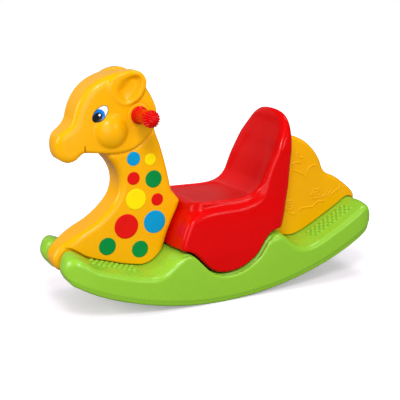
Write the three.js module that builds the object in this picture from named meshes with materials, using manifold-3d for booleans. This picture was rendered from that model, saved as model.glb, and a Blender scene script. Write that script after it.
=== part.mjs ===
// A toddler's ride-on rocker in the shape of a giraffe: a rocker base, a hollow giraffe front, a saddle
// seat with a backrest and a tail piece, all bolted together from below, with a grip bar through the head.
// Millimetres. +Z is up, the giraffe faces -Y, +X is its left-hand side, Z = 0 is the floor.
import * as THREE from "three";
import { mergeVertices } from "three/addons/utils/BufferGeometryUtils.js";
import Module from "manifold-3d";

const wasm = await Module();
wasm.setup();

// Driving dimensions.
const WALL = { base: 3.6, front: 3, seat: 3.6, tail: 3.6 }; // blow-moulded walls
const GAP = 0.4; // between touching mouldings
const LENGTH = 782; // overall, from the horns to the rear end of the base
const BASE_HALF_WIDTH = 118;
const ROCKER_RADIUS = 736;
const ROCKER_CENTRE_Y = -25; // the point of the rockers that stands on the floor
const FLAT_HALF = 16; // half of the flat at the rockers' lowest point
const RUNNER_CHANNEL = { halfWidth: 38, depth: 10 }; // the recess between the two runners
const TOE_SLOT = { halfWidth: 34, rearY: -300, clearance: 1 }; // the gap between the front horns
const TOE_LENGTH = 28; // narrow end of the toe, which fits between the horns
const NECK_HALF_WIDTH = 42;
const HEAD_HALF_WIDTH = 50;
const SEAT_HALF_WIDTH = 117;
const TAIL_HALF_WIDTH = 40;
const EAR_BULGE = 8; // how far the ears stand out from the head
const ROUND = { base: 11, head: 14, neck: 12, tail: 12, ear: 6, profile: 4.5 }; // edge radii
const HANDLE = { y: -198, z: 427, boreRadius: 16, innerX: 4, gripX: 94, tipX: 127 };
const FLANGE = { radius: 19.5, rim: 3, thickness: 6, taper: 2.5 };
// The grip's neck: how far it reaches into the knob, and how much wider it starts.
const STEM = { radius: 14.5, overlap: 20, flare: 0.5 };
const RIBS = { count: 18, crest: 18.9, valley: 16.6, domeLength: 8 };
const SPINDLE = { radius: 6, wall: 1.5, halfLength: 104, endPlay: 2 };
const SCREW = { radius: 2.5, headRadius: 5, headHeight: 4, length: 36, tip: 4, clear: 6 };
const WASHER = { radius: 7.5, thickness: 1.5 };
const WELL_RADIUS = 9; // screw well in the underside of the base
const BOSS_RADIUS = 14; // solid column round each screw
const SEAT_OF_HEAD = 7; // base material between the head of a screw and the piece it holds
const VENT_RADIUS = 6; // blow holes of the hollow mouldings
const BASE_VENT = { x: 85, y: 250, z0: 30, z1: 90 };
const SEAT_VENT = { y: 84, z0: 60, z1: 160 };
const TAIL_VENT = { y: 160, z: 200, length: 60 };
const STICKER = { gap: 0.3, thickness: 0.6 };
const BELOW = -10; // clear of the floor, for the tools that cut upwards
const ABOVE = 200; // clear of the base's top
const CLEAR = 20; // how far tools reach past the sides of what they shape
const HEAD_HEIGHTS = [300, 560]; // from below the chin to above the ears
const TOE_CUT_TOP = 170; // above the front horns, below the rest of the neck
const SEAT_REACH = 200; // along Y, past both ends of the seat

const COLOURS = {
  orange: { color: 0xfcb400, roughness: 0.35, metalness: 0 },
  red: { color: 0xd70808, roughness: 0.3, metalness: 0 },
  lime: { color: 0x92cd37, roughness: 0.35, metalness: 0 },
  blue: { color: 0x089ad3, roughness: 0.5, metalness: 0 },
  yellow: { color: 0xfae205, roughness: 0.5, metalness: 0 },
  green: { color: 0x048b44, roughness: 0.5, metalness: 0 },
  white: { color: 0xf5f5f2, roughness: 0.4, metalness: 0 },
  steel: { color: 0xb8babd, roughness: 0.35, metalness: 0.9 },
};

// Turns a closed geometry into a solid, and a solid back into a geometry with flat-shaded faces.
function solid(geometry) {
  const plain = geometry.index ? geometry.toNonIndexed() : geometry.clone();
  plain.deleteAttribute("normal");
  plain.deleteAttribute("uv");
  const merged = mergeVertices(plain, 1e-3);
  return new wasm.Manifold(
    new wasm.Mesh({
      numProp: 3,
      vertProperties: merged.attributes.position.array,
      triVerts: new Uint32Array(merged.index.array),
    }),
  );
}

function geometryOf(body) {
  const mesh = body.getMesh();
  const geometry = new THREE.BufferGeometry();
  geometry.setAttribute("position", new THREE.BufferAttribute(mesh.vertProperties, 3));
  geometry.setIndex(new THREE.BufferAttribute(mesh.triVerts, 1));
  const flat = geometry.toNonIndexed();
  flat.computeVertexNormals();
  return flat;
}

const join = (first, ...rest) => rest.reduce((body, piece) => body.add(piece), first);
const cut = (body, ...tools) => tools.reduce((left, tool) => left.subtract(tool), body);
const largest = (body) => body.decompose().reduce((a, b) => (a.volume() > b.volume() ? a : b));

// An outline from a start point and its legs: a leg of one point is a straight line, a longer one a
// smooth curve through its points.
function outline(start, ...legs) {
  const shape = new THREE.Shape();
  shape.moveTo(...start);
  for (const leg of legs) {
    if (leg.length === 1) shape.lineTo(...leg[0]);
    else shape.splineThru(leg.map((point) => new THREE.Vector2(...point)));
  }
  return shape;
}

// The outline swept along +Z between two heights of its own frame, with its edges rounded and, for the
// core of a hollow moulding, shrunk all round by an inset smaller than that rounding.
function sweep(shape, low, high, { round = 0, inset = 0, curveSegments = 1 } = {}) {
  const geometry = new THREE.ExtrudeGeometry(shape, {
    depth: high - low - 2 * round,
    bevelEnabled: round > 0,
    bevelThickness: round - inset,
    bevelSize: round - inset,
    bevelOffset: -round,
    bevelSegments: 2,
    curveSegments,
  });
  return geometry.translate(0, 0, low + round);
}

const X = new THREE.Vector3(1, 0, 0);
const Y = new THREE.Vector3(0, 1, 0);
const Z = new THREE.Vector3(0, 0, 1);
const ALONG_X = new THREE.Matrix4().makeBasis(Y, Z, X); // outline given as (y, z)
const ALONG_Y = new THREE.Matrix4().makeBasis(Z, X, Y); // outline given as (z, x)

const acrossX = (shape, half, options) =>
  solid(sweep(shape, -half, half, options).applyMatrix4(ALONG_X));
const alongY = (shape, low, high, options) =>
  solid(sweep(shape, low, high, options).applyMatrix4(ALONG_Y));
const upZ = (shape, low, high, options) => solid(sweep(shape, low, high, options));

function box(x0, x1, y0, y1, z0, z1) {
  const geometry = new THREE.BoxGeometry(x1 - x0, y1 - y0, z1 - z0);
  return solid(geometry.translate((x0 + x1) / 2, (y0 + y1) / 2, (z0 + z1) / 2));
}

// A turned piece: radii and heights of its profile, closed on the Z axis or on itself.
function turned(profile, segments = 16) {
  const points = profile.map(([radius, height]) => new THREE.Vector2(radius, height));
  return new THREE.LatheGeometry(points, segments).rotateX(Math.PI / 2);
}

function post(x, y, z0, z1, radius, segments = 12) {
  const geometry = new THREE.CylinderGeometry(radius, radius, z1 - z0, segments);
  return solid(geometry.rotateX(Math.PI / 2).translate(x, y, (z0 + z1) / 2));
}

function crossPost(x0, x1, y, z, radius, segments = 16) {
  const geometry = new THREE.CylinderGeometry(radius, radius, x1 - x0, segments);
  return solid(geometry.rotateZ(Math.PI / 2).translate((x0 + x1) / 2, y, z));
}

// Height of the rockers' arc above the floor.
const arcHeight = (y, radius = ROCKER_RADIUS) =>
  ROCKER_RADIUS - Math.sqrt(radius ** 2 - (y - ROCKER_CENTRE_Y) ** 2);

// Points along the arc, with one flat centred on its lowest point.
function arcPoints(fromY, toY, radius = ROCKER_RADIUS, steps = 11) {
  const points = [];
  for (let i = 0; i <= steps; i++) {
    points.push(fromY + ((ROCKER_CENTRE_Y - FLAT_HALF - fromY) * i) / steps);
  }
  for (let i = 0; i <= steps; i++) {
    points.push(ROCKER_CENTRE_Y + FLAT_HALF + ((toY - ROCKER_CENTRE_Y - FLAT_HALF) * i) / steps);
  }
  const floor = arcHeight(ROCKER_CENTRE_Y + FLAT_HALF);
  return points.map((y) => [y, arcHeight(y, radius) - floor]);
}

// Side outlines, as (y, z).
const FRONT_END = -LENGTH / 2;
const REAR_END = LENGTH / 2;
const BASE_TOP = [
  [380, 122], [388, 131], [REAR_END, 142], [REAR_END - 2, 157], [384, 169], [376, 178.5], [365, 183],
  [352, 179.5], [340, 172], [300, 149], [251, 123], [225, 111], [203, 105], [183, 106], [164, 113],
  [147, 126], [132, 139], [118, 144], [104, 140], [92, 129], [80, 112], [67, 94], [49, 80], [28, 69],
  [5, 63], [-18, 62], [-40, 66], [-60, 77], [-78, 95], [-95, 113], [-110, 122], [-126, 124],
  [-142, 118], [-156, 107], [-172, 96], [-192, 91], [-215, 94], [-245, 101], [-275, 111], [-304, 120],
  [-325, 129], [-343, 141.5], [-358, 149.5], [-371, 149.5], [-382, 142.5], [FRONT_END + 2, 131],
  [FRONT_END, 120], [FRONT_END + 2, 110], [-384, 101],
];
// The base from above, as (x, y), with all four corners rounded.
const BASE_PLAN = outline(
  [BASE_HALF_WIDTH, -330],
  [[BASE_HALF_WIDTH, 352]],
  [[114, 370], [104, 384], [84, REAR_END + 1]],
  [[-84, REAR_END + 1]],
  [[-104, 384], [-114, 370], [-BASE_HALF_WIDTH, 352]],
  [[-BASE_HALF_WIDTH, -330]],
  [[-114, -358], [-100, -380], [-74, FRONT_END - 1]],
  [[74, FRONT_END - 1]],
  [[100, -380], [114, -358], [BASE_HALF_WIDTH, -330]],
);

function baseOutline() {
  const arc = arcPoints(FRONT_END + 15, REAR_END - 21);
  const shape = new THREE.Shape(arc.map((point) => new THREE.Vector2(...point)));
  shape.splineThru([...BASE_TOP, arc[0]].map((point) => new THREE.Vector2(...point)));
  return shape;
}

const HEAD = outline(
  [-291, 351],
  [[-318, 352], [-326, 347], [-336, 338], [-352, 334], [-368, 341], [-378, 356], [-379, 374],
    [-371, 391], [-352, 405], [-340, 420], [-334, 440], [-328, 461], [-316, 483], [-299, 500],
    [-276, 511], [-250, 518], [-222, 524], [-198, 521], [-181, 508], [-176, 486], [-163, 463],
    [-156, 436], [-158, 408], [-169, 388], [-190, 366], [-214, 353], [-250, 348], [-291, 351]],
);
const HEAD_PLAN = outline(
  [-150, HEAD_HALF_WIDTH],
  [[-300, HEAD_HALF_WIDTH], [-335, 42], [-362, 37], [-379, 24]],
  [[-379, -24]],
  [[-362, -37], [-335, -42], [-300, -HEAD_HALF_WIDTH], [-150, -HEAD_HALF_WIDTH]],
);
const NECK = outline(
  [-170, 440],
  [[-230, 430], [-268, 380], [-268, 345], [-250, 318], [-241, 295], [-240, 271], [-247, 249],
    [-266, 225], [-298, 199], [-334, 180], [-360, 165], [-381, 148], [FRONT_END, 128],
    [-386, 108], [-368, 96]],
  [[-330, 84]],
  [[-310, 84]],
  [[-160, 84]],
  [[-140, 118], [-130, 150], [-114, 187], [-102, 212], [-98, 227], [-107, 240], [-116, 252],
    [-122, 278], [-131, 316], [-143, 358], [-155, 392], [-157, 420], [-170, 440]],
);
const EAR = outline(
  [-224, 468],
  [[-214, 452], [-200, 458], [-184, 472], [-178, 492], [-190, 508], [-212, 508], [-226, 492],
    [-224, 468]],
);
const CHEEK = { y: -260, z: 396, radius: 39, flatness: 0.6, bulge: 10 };

const SEAT = outline(
  [-134, 122],
  [[-119, 165], [-101, 205], [-95, 221], [-80, 229]],
  [[20, 229.5]],
  [[42, 231.5], [58, 236], [70, 243], [83, 257], [97, 283], [107, 304], [119, 327], [129, 349],
    [137, 365], [145, 383], [149, 401], [155, 412.5], [162, 406], [165, 384]],
  [[155, 285]],
  [[151, 240]],
  [[143, 203]],
  [[131, 152]],
  [[121, 140]],
  [[100, 40]],
  [[-80, 40]],
);
// The seat from behind, as (z, x): an arched backrest over flanks that widen downwards.
const SEAT_BACK = outline(
  [30, SEAT_HALF_WIDTH],
  [[118, SEAT_HALF_WIDTH]],
  [[150, 109], [205, 97], [250, 93], [300, 92], [335, 91], [358, 87.5], [378, 79.5], [394, 67],
    [405, 50], [412, 28], [415, 0], [412, -28], [405, -50], [394, -67], [378, -79.5], [358, -87.5],
    [335, -91], [300, -92], [250, -93], [205, -97], [150, -109], [118, -SEAT_HALF_WIDTH]],
  [[30, -SEAT_HALF_WIDTH]],
);
const TAIL = outline(
  [130, 90],
  [[130, 350]],
  [[165, 354], [203, 347], [234, 333], [260, 311], [279, 285], [290, 260], [302, 248], [326, 237],
    [353, 219], [375, 201], [386, 187], [386, 172]],
  [[350, 140]],
  [[200, 90]],
);

// Where the screws stand: x, y and the piece that each holds.
const SCREWS = [
  { name: "front_screw_1", holds: "front", x: 0, y: -268 },
  { name: "front_screw_2", holds: "front", x: 0, y: -212 },
  { name: "seat_screw_1", holds: "seat", x: -24, y: -52 },
  { name: "seat_screw_2", holds: "seat", x: 24, y: -52 },
  { name: "seat_screw_3", holds: "seat", x: -24, y: 30 },
  { name: "seat_screw_4", holds: "seat", x: 24, y: 30 },
  { name: "tail_screw_1", holds: "tail", x: 0, y: 206 },
  { name: "tail_screw_2", holds: "tail", x: 0, y: 296 },
];

// The base's top surface under a screw, found along its outline.
function topAt(y) {
  const i = BASE_TOP.findIndex(([py]) => py <= y);
  const [[y0, z0], [y1, z1]] = [BASE_TOP[i], BASE_TOP[i - 1]];
  return z0 + ((z1 - z0) * (y - y0)) / (y1 - y0);
}

// The base without its hollow, and the same shape as the others stand on it.
const BASE_SHAPE = baseOutline();
const BASE_PRISM = acrossX(BASE_SHAPE, BASE_HALF_WIDTH + CLEAR);
const baseLayer = (inset) =>
  acrossX(BASE_SHAPE, BASE_HALF_WIDTH, { round: ROUND.base, inset }).intersect(
    upZ(BASE_PLAN, 2 * BELOW, ABOVE + CLEAR, { round: ROUND.base, inset }),
  );

const slotBox = (grow) =>
  box(
    -TOE_SLOT.halfWidth - grow, TOE_SLOT.halfWidth + grow,
    FRONT_END - CLEAR, TOE_SLOT.rearY + grow, BELOW, ABOVE,
  );

function channel(grow) {
  const radius = ROCKER_RADIUS - RUNNER_CHANNEL.depth - grow;
  const upper = arcPoints(FRONT_END - 10, REAR_END + 10, radius, 9);
  const shape = new THREE.Shape(upper.map((point) => new THREE.Vector2(...point)));
  shape.lineTo(REAR_END + 10, -40);
  shape.lineTo(FRONT_END - 10, -40);
  return acrossX(shape, RUNNER_CHANNEL.halfWidth + grow);
}

function rockerBase() {
  const hollow = cut(
    baseLayer(WALL.base),
    slotBox(WALL.base),
    channel(WALL.base),
    ...SCREWS.map(({ x, y }) => post(x, y, BELOW, ABOVE, BOSS_RADIUS)),
  );
  const wells = SCREWS.map(({ x, y }) => post(x, y, BELOW, topAt(y) - SEAT_OF_HEAD, WELL_RADIUS));
  const holes = SCREWS.map(({ x, y }) => post(x, y, BELOW, ABOVE, SCREW.radius + GAP));
  const { x: ventX, y: ventY, z0, z1 } = BASE_VENT;
  const vents = [-1, 1].map((side) => post(side * ventX, ventY, z0, z1, VENT_RADIUS));
  return cut(baseLayer(0), slotBox(0), channel(0), hollow, ...wells, ...holes, ...vents);
}

// A hollow piece that stands on the base: the outside, less the inside with its screw bosses left
// standing, cut to the base's top, drilled for its screws and opened by one more hole.
function standing(piece, outside, inside, opening) {
  const screws = SCREWS.filter(({ holds }) => holds === piece);
  const bosses = screws.map(({ x, y }) => post(x, y, 0, topAt(y) + SCREW.length, BOSS_RADIUS));
  const pilots = screws.map(({ x, y }) =>
    post(x, y, 0, topAt(y) + SCREW.length - SCREW.clear, SCREW.radius + GAP),
  );
  const floor = BASE_PRISM.translate([0, 0, GAP + WALL[piece]]);
  const hollow = largest(cut(inside, floor, ...bosses));
  const under = cut(BASE_PRISM, slotBox(-TOE_SLOT.clearance)).translate([0, 0, GAP]);
  return largest(cut(outside, under, hollow, ...pilots, opening));
}

function giraffeFront() {
  const plan = HEAD_PLAN.getPoints(3).map(({ x, y }) => new THREE.Vector2(y, x));
  const layer = (inset) =>
    join(
      acrossX(HEAD, HEAD_HALF_WIDTH, { round: ROUND.head, inset }).intersect(
        upZ(new THREE.Shape(plan), ...HEAD_HEIGHTS, { round: ROUND.profile, inset }),
      ),
      acrossX(NECK, NECK_HALF_WIDTH, { round: ROUND.neck, inset }),
    );
  const earEdge = { round: ROUND.ear, curveSegments: 2 };
  const ears = acrossX(EAR, HEAD_HALF_WIDTH + EAR_BULGE, earEdge);
  const cheeks = [-1, 1].map((side) => {
    const ball = new THREE.SphereGeometry(CHEEK.radius, 16, 10).scale(CHEEK.flatness, 1, 1);
    const x = HEAD_HALF_WIDTH + CHEEK.bulge - CHEEK.flatness * CHEEK.radius;
    return solid(ball.translate(side * x, CHEEK.y, CHEEK.z));
  });
  const toeWidth = TOE_SLOT.halfWidth - TOE_SLOT.clearance;
  const besideToe = [-1, 1].map((side) => {
    const [inner, outer] = [side * toeWidth, side * BASE_HALF_WIDTH].sort((a, b) => a - b);
    return box(inner, outer, FRONT_END - CLEAR, FRONT_END + TOE_LENGTH, 0, TOE_CUT_TOP);
  });
  const bore = crossPost(-BASE_HALF_WIDTH, BASE_HALF_WIDTH, HANDLE.y, HANDLE.z, HANDLE.boreRadius);
  const outside = cut(join(layer(0), ears, ...cheeks), ...besideToe);
  return standing("front", outside, layer(WALL.front), bore);
}

const seatShape = (inset) =>
  acrossX(SEAT, SEAT_HALF_WIDTH, { round: ROUND.profile, inset }).intersect(
    alongY(SEAT_BACK, -SEAT_REACH, SEAT_REACH, { round: ROUND.profile, inset }),
  );

function seat() {
  const vent = post(0, SEAT_VENT.y, SEAT_VENT.z0, SEAT_VENT.z1, VENT_RADIUS);
  return standing("seat", seatShape(0), seatShape(WALL.seat), vent);
}

function tail() {
  const behindSeat = (gap) => acrossX(SEAT, BASE_HALF_WIDTH + CLEAR).translate([0, gap, 0]);
  const layer = (inset) =>
    cut(
      acrossX(TAIL, TAIL_HALF_WIDTH, { round: ROUND.tail, inset }),
      behindSeat(3 * GAP + inset),
    );
  const { y, z, length } = TAIL_VENT;
  const hole = new THREE.CylinderGeometry(VENT_RADIUS, VENT_RADIUS, length, 12);
  return standing("tail", layer(0), layer(WALL.tail), solid(hole.translate(0, y, z)));
}

// A grip along +X: a flange against the head, a plain neck and a ribbed, domed end, bored for the spindle.
function grip() {
  const { boreRadius, innerX, gripX, tipX } = HANDLE;
  const flangeX = HEAD_HALF_WIDTH + GAP;
  const stem = turned([
    [0, innerX], [boreRadius - GAP, innerX], [boreRadius - GAP, flangeX], [FLANGE.radius, flangeX],
    [FLANGE.radius, flangeX + FLANGE.rim],
    [FLANGE.radius - FLANGE.taper, flangeX + FLANGE.thickness - 1],
    [STEM.radius + STEM.flare, flangeX + FLANGE.thickness], [STEM.radius, gripX + STEM.overlap],
    [0, gripX + STEM.overlap],
  ]).rotateY(Math.PI / 2);
  const star = new THREE.Shape();
  for (let i = 0; i < 2 * RIBS.count; i++) {
    const angle = (Math.PI * i) / RIBS.count;
    const radius = i % 2 ? RIBS.valley : RIBS.crest;
    const place = [radius * Math.cos(angle), radius * Math.sin(angle)];
    if (i === 0) star.moveTo(...place);
    else star.lineTo(...place);
  }
  const ribbed = new THREE.ExtrudeGeometry(star, {
    depth: tipX - gripX - 2 * RIBS.domeLength,
    bevelThickness: RIBS.domeLength,
    bevelSize: RIBS.domeLength,
    bevelOffset: -RIBS.domeLength,
    bevelSegments: 2,
  });
  ribbed.rotateY(Math.PI / 2).translate(gripX + RIBS.domeLength, 0, 0);
  const bore = crossPost(0, SPINDLE.halfLength + SPINDLE.endPlay, 0, 0, SPINDLE.radius + GAP, 20);
  return geometryOf(cut(join(solid(stem), solid(ribbed)), bore));
}

function spindle() {
  const { radius, wall, halfLength } = SPINDLE;
  return turned([
    [radius - wall, -halfLength], [radius, -halfLength], [radius, halfLength],
    [radius - wall, halfLength], [radius - wall, -halfLength],
  ]).rotateY(Math.PI / 2);
}

// A pan-head screw standing on its head, with its thread as a plain shank.
const screw = () =>
  turned([
    [0, 0], [SCREW.headRadius, 0], [SCREW.headRadius, SCREW.headHeight],
    [SCREW.radius, SCREW.headHeight],
    [SCREW.radius, SCREW.headHeight + SCREW.length - SCREW.tip],
    [0, SCREW.headHeight + SCREW.length],
  ], 10);

const washer = () =>
  turned([
    [SCREW.radius + GAP, 0], [WASHER.radius, 0], [WASHER.radius, WASHER.thickness],
    [SCREW.radius + GAP, WASHER.thickness], [SCREW.radius + GAP, 0],
  ], 12);

// A thin oval sticker facing along X, turned about X.
function sticker(halfLength, halfHeight = halfLength, turn = 0) {
  const disc = new THREE.CylinderGeometry(1, 1, STICKER.thickness, 22).rotateZ(-Math.PI / 2);
  return disc.scale(1, halfLength, halfHeight).rotateX(turn);
}

// Round stickers on each side of the neck and chest: colour, y, z and radius.
const DOTS = [
  ["blue", -210, 333, 15.5], ["yellow", -171, 328, 13], ["red", -211, 290, 14.4],
  ["green", -164, 284, 19.4], ["yellow", -206, 243, 23.4], ["red", -156, 237, 14.1],
  ["blue", -163, 187, 26], ["red", -230, 185, 27.8], ["green", -275, 146, 19.6],
  ["green", -199, 129, 19.4],
];
const EYE = { y: -284, z: 435, halfLength: 22.5, halfHeight: 13.5, tilt: Math.PI / 4 };

const toy = new THREE.Group();

function add(name, geometry, colour, parent = toy) {
  const mesh = new THREE.Mesh(geometry, new THREE.MeshStandardMaterial(COLOURS[colour]));
  mesh.name = name;
  parent.add(mesh);
  return mesh;
}

add("rocker_base", geometryOf(rockerBase()), "lime");
add("giraffe_front", geometryOf(giraffeFront()), "orange");
add("seat", geometryOf(seat()), "red");
add("giraffe_tail", geometryOf(tail()), "orange");

const handleBar = new THREE.Group();
handleBar.position.set(0, HANDLE.y, HANDLE.z);
toy.add(handleBar);
add("handle_grip_left", grip(), "red", handleBar);
add("handle_grip_right", grip(), "red", handleBar).rotation.z = Math.PI;
add("handle_spindle", spindle(), "steel", handleBar);

for (const { name, x, y } of SCREWS) {
  const washerTop = topAt(y) - SEAT_OF_HEAD - GAP;
  const headTop = washerTop - WASHER.thickness - GAP;
  add(name, screw(), "steel").position.set(x, y, headTop - SCREW.headHeight);
  add(name.replace("screw", "washer"), washer(), "steel")
    .position.set(x, y, washerTop - WASHER.thickness);
}

for (const [label, side] of [["left", 1], ["right", -1]]) {
  const lift = STICKER.gap + STICKER.thickness / 2;
  const stickers = new THREE.Group();
  toy.add(stickers);
  DOTS.forEach(([colour, y, z, radius], i) => {
    add(`dot_${label}_${i + 1}_${colour}`, sticker(radius), colour, stickers)
      .position.set(side * (NECK_HALF_WIDTH + lift), y, z);
  });
  add(`eye_${label}`, sticker(EYE.halfLength, EYE.halfHeight, EYE.tilt), "white", stickers)
    .position.set(side * (HEAD_HALF_WIDTH + lift), EYE.y, EYE.z);
}

export default toy;
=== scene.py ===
"""A giraffe-shaped ride-on rocker: detailed blow-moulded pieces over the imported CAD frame.

Shapes are worked out in millimetres as signed distances (negative inside), turned into quads by
OpenVDB, settled onto the exact surface and scaled to metres. +Z is up, the giraffe faces -Y.
"""

import math

import bpy
import numpy as np
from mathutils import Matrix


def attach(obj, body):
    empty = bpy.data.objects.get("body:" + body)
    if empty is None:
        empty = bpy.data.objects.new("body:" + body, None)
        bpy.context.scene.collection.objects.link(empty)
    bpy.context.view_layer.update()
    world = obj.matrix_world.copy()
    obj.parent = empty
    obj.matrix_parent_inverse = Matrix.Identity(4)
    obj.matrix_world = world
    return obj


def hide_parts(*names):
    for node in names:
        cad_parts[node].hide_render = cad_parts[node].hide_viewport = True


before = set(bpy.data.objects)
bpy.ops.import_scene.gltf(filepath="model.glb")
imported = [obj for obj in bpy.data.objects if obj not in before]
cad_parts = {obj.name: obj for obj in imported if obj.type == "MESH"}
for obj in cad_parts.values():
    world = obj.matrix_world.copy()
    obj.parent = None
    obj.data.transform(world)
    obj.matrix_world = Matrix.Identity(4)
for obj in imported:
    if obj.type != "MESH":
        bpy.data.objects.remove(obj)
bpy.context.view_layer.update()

import openvdb as vdb
from mathutils import Vector

MM = 0.001

# ---------------------------------------------------------------- dimensions, in millimetres

ROCKER_RADIUS = 736
ROCKER_CENTRE = (-25, 735.83)  # y and z of the rockers' arc
ROCKER_HEIGHT = 10  # thickness of the rocker's tread, under the hollow between the runners
CHANNEL_HALF = 38  # half width of that hollow
DECK_ROUND, FOOT_ROUND = 12, 5  # edge radii of the base's top and foot
RIM_ROUND_LOSS = 5  # how much sharper the deck's rim is beside the seat
DECK_FALL = 8  # how far the deck falls away outwards
GROOVE = (101, 105, 110, 114, 8)  # across: start, full, full, end; and depth
WELL_RADIUS, WELL_ROOF = 9, 7.4  # the wells that the screws sit in, and the wall above them
NECK_HALF = 42
HEAD_HALF = 50
TAIL_HALF = 40
BASE_GAP = 1.8  # dark line between the giraffe and the base
SEAT_GAP = 4.5  # and under the seat's flanks
HANDLE = (-198, 427)
FLANGE_X = HEAD_HALF + 0.4

DECK = [
    (340, 172), (300, 149), (251, 123), (225, 111), (203, 105), (183, 106), (164, 113), (147, 126),
    (132, 139), (118, 144), (104, 140), (92, 129), (80, 112), (67, 94), (49, 80), (28, 69), (5, 63),
    (-18, 62), (-40, 66), (-60, 77), (-78, 95), (-95, 113), (-110, 122), (-126, 124), (-142, 118),
    (-156, 107), (-172, 96), (-192, 91), (-215, 94), (-245, 101), (-275, 111), (-304, 120),
    (-325, 129), (-343, 141.5),
]
BASE_TOP = [
    (380, 122), (388, 131), (391, 142), (389, 157), (384, 169), (376, 178.5), (365, 183),
    (352, 179.5), *DECK, (-358, 149.5), (-371, 149.5), (-382, 142.5), (-389, 131), (-391, 120),
    (-389, 110), (-384, 101),
]
# Seen from above, as (x, y): the front horns with the slot for the toe, and the rounded rear.
BASE_PLAN_RIGHT = [
    (0, -300), (28, -300), (34, -306), (34, -330), (35, -362), (41, -379), (54, -389), (72, -392),
    (91, -387), (107, -371), (116, -348), (119, -320), (119, -200), (119, 0), (119, 200),
    (119, 330), (118, 352), (114, 370), (104, 384), (86, 392), (60, 395), (0, 395.5),
]
HEAD = [
    (-291, 351), (-318, 352), (-326, 347), (-336, 338), (-352, 334), (-368, 341), (-378, 356),
    (-379, 374), (-371, 391), (-352, 405), (-340, 420), (-334, 440), (-326, 459), (-312, 480),
    (-294, 496), (-272, 508), (-249, 515), (-222, 518), (-200, 517), (-183, 507), (-176, 486),
    (-163, 463), (-156, 436), (-158, 408), (-169, 388), (-190, 366), (-214, 353), (-250, 348),
]
# Seen from above, as (x, y).
HEAD_PLAN_RIGHT = [
    (0, -385), (16, -382), (27, -376), (35, -364), (39, -345), (44, -320), (48, -298), (51.5, -272),
    (53, -245), (56, -180), (56, -150), (50, -130), (0, -125),
]
NECK = [
    (-170, 440), (-230, 430), (-268, 380), (-268, 345), (-250, 318), (-241, 295), (-240, 271),
    (-247, 249), (-266, 225), (-298, 199), (-334, 180), (-360, 165), (-381, 148), (-391, 128),
    (-386, 108), (-368, 96), (-345, 88), (-310, 80), (-260, 76), (-200, 74), (-165, 80),
    (-147, 100), (-140, 118), (-130, 150), (-114, 187), (-102, 212), (-98, 227), (-107, 240),
    (-116, 252), (-122, 278), (-131, 316), (-143, 358), (-155, 392), (-157, 420),
]
EAR = [
    (-264, 491), (-255, 508), (-233, 519), (-206, 522), (-190, 514), (-182, 499), (-184, 484),
    (-192, 468), (-206, 455), (-224, 448), (-240, 451), (-253, 462), (-262, 477),
]
EAR_BOWL = [
    (-250, 481), (-244, 464), (-228, 452), (-207, 465), (-193, 491), (-195, 507), (-207, 513),
    (-226, 509), (-243, 497),
]
SEAT = [
    (-134, 122), (-119, 165), (-101, 205), (-95, 221), (-80, 229), (-30, 230), (20, 229.5),
    (42, 231.5), (58, 236), (70, 243), (83, 257), (97, 283), (107, 304), (119, 327), (129, 349),
    (137, 365), (145, 383), (150.5, 401), (158, 414.5), (164, 407), (165, 384), (161, 340),
    (155, 285), (151, 240), (143, 203), (136, 171), (131, 152), (121, 138), (108, 100), (90, 45),
    (60, 40), (-40, 40), (-80, 50), (-115, 80), (-132, 108),
]
# From behind, as (x, z).
SEAT_BACK_RIGHT = [
    (0, 30), (80, 30), (106, 34), (110.5, 60), (111, 90), (111, 118), (107, 150), (102, 178),
    (97, 205), (94, 228), (93, 250), (92, 300), (91, 335), (87.5, 358), (79, 378), (66, 394.5),
    (50, 406), (29, 413.5), (0, 417),
]
# The outer step of the seat's flank, which turns down at the front with a wide corner.
SHOULDER = [
    (-127, 40), (-127, 118), (-125, 150), (-119, 174), (-103, 195), (-75, 208), (-35, 213),
    (28, 215), (60, 222), (83, 238), (94, 269), (104, 313), (116, 362), (128, 395), (150, 420),
    (180, 420), (180, 40),
]
# Half widths of the sunk panels: the saddle's by y, and the backrest's by z.
PANEL_HALF = 83
SADDLE_PANEL = ((-75, 15, 34, 44, 51), (PANEL_HALF, PANEL_HALF, 77, 68, 50))
BACK_PANEL = ((228, 285, 310, 328, 363, 385, 396), (84, 84, 77, 67, 54, 33, 5))
TAIL = [
    (140, 90), (144, 200), (150, 345), (158, 353), (170, 354), (203, 347), (234, 333), (260, 311),
    (279, 285), (290, 260), (302, 248), (326, 237), (353, 219), (375, 201), (386, 187),
    (386, 172), (350, 140), (200, 80),
]
SCREW_WELLS = [(0, -268), (0, -212), (-24, -52), (24, -52), (-24, 30), (24, 30), (0, 206), (0, 296)]

GRAINED_RED = (204, 4, 3)

# Round stickers: colour, y, z, radius.
DOTS = [
    ("blue", -210, 333, 15.5), ("yellow", -171, 328, 13), ("red", -211, 290, 14.4),
    ("green", -164, 284, 19.4), ("yellow", -206, 243, 23.4), ("red", -156, 237, 14.1),
    ("blue", -163, 187, 26), ("red", -230, 185, 27.8), ("green", -275, 146, 19.6),
    ("green", -199, 129, 19.4),
]
EYE = {"y": -284, "z": 435, "long": 21.6, "short": 12.4, "tilt": math.radians(45)}
CHEEK = {"x": 34, "y": -260, "z": 396, "radius": 39.5, "flatness": 0.74}
JAW_HOLLOW = {"y": -206, "z": 385, "depth": 4.5, "spread": 560}
JAW_GROOVE = (4, 5)  # depth and width of the crease that parts the head from the neck
EAR_LIP, EAR_DEPTH = 7.5, 12  # how far the ear stands out, and how deep its bowl is
MOUTH = {"y": -317, "z": 358, "half_width": 0.9, "half_height": 11, "floor": 24}
HANDLE_RING = (25.5, 1.8, 0.7)  # radius, width and depth of the groove round each grip
TOE_TAPER = 9.2  # how much narrower the toe is than the neck
SHOULDER_STEP = 7  # how far the lower flank stands out from the seat's rim
SADDLE_RECESS, BACK_RECESS = 2.4, 1.0
EMBOSS_HEIGHT = 1.6

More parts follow.
